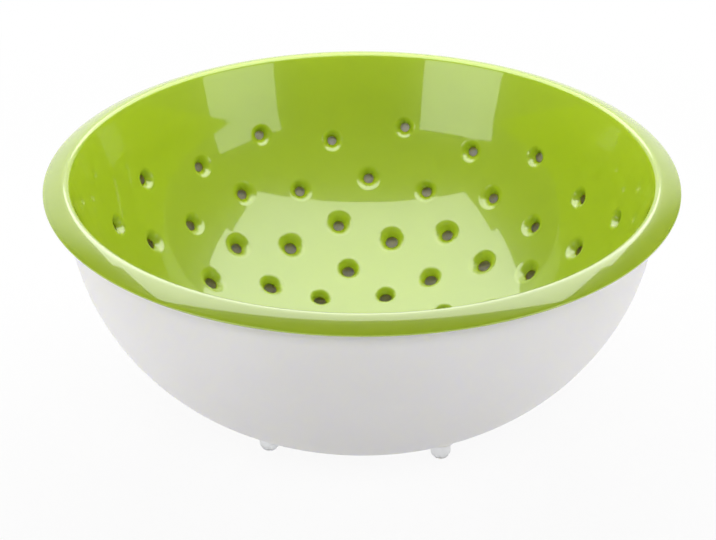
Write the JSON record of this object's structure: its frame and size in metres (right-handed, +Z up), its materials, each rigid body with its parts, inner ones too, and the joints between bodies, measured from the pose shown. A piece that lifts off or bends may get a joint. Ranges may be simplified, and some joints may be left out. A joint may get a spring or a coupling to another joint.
{
  "type": "colander with bowl",
  "caption": "Round draining colander with funnel-shaped holes and a turned-over rim, hung in its own bowl on small domed feet; it lifts straight out.",
  "frame": {"origin": "centre of the ground plane between the four feet", "axes": "+Z up along the axis of the bowl, -Y towards the picture's viewer, +X to the viewer's right"},
  "size_m": [0.26, 0.26, 0.1185],
  "materials": {
    "colander_green": "gloss",
    "bowl_white": "satin",
    "foot_clear": "translucent satin"
  },
  "bodies": {
    "bowl": {"bowl": "bowl_white", "foot_back_right": "foot_clear", "foot_back_left": "foot_clear", "foot_front_left": "foot_clear", "foot_front_right": "foot_clear"},
    "colander": {"colander": "colander_green"}
  },
  "joints": [
    {"name": "lift", "type": "slide", "parent": "bowl", "child": "colander", "axis": [0, 0, 1], "range_m": [0, 0.13]}
  ]
}
